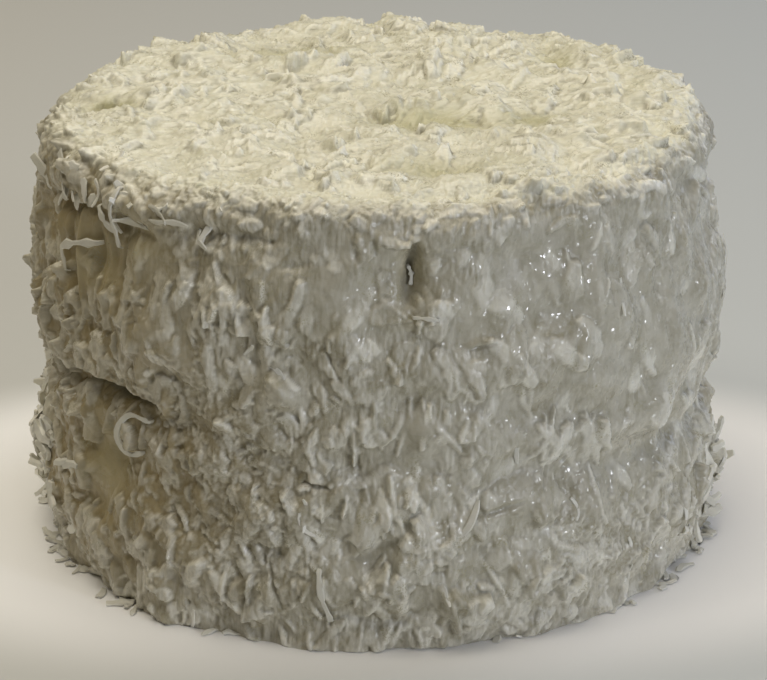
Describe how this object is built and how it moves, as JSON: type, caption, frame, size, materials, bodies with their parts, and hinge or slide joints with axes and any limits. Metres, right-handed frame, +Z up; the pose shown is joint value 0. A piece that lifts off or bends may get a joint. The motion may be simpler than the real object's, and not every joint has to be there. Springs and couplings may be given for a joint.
{
  "type": "layer cake",
  "caption": "Tall round layer cake, uncut, iced all over and coated in shredded coconut, with rounded top edge, a soft waist between its halves and a flat foot.",
  "frame": {"origin": "centre of the flat foot, on the surface that the cake rests on", "axes": "+Z up the cake's height, -Y towards the side shown in the picture, +X to the right in the picture"},
  "size_m": [0.2414, 0.2363, 0.1524],
  "materials": {
    "coconut_coat": "soft buttercream under moist, creamy white coconut shreds"
  },
  "bodies": {
    "root": {"frosted_cake": "coconut_coat"}
  },
  "joints": []
}
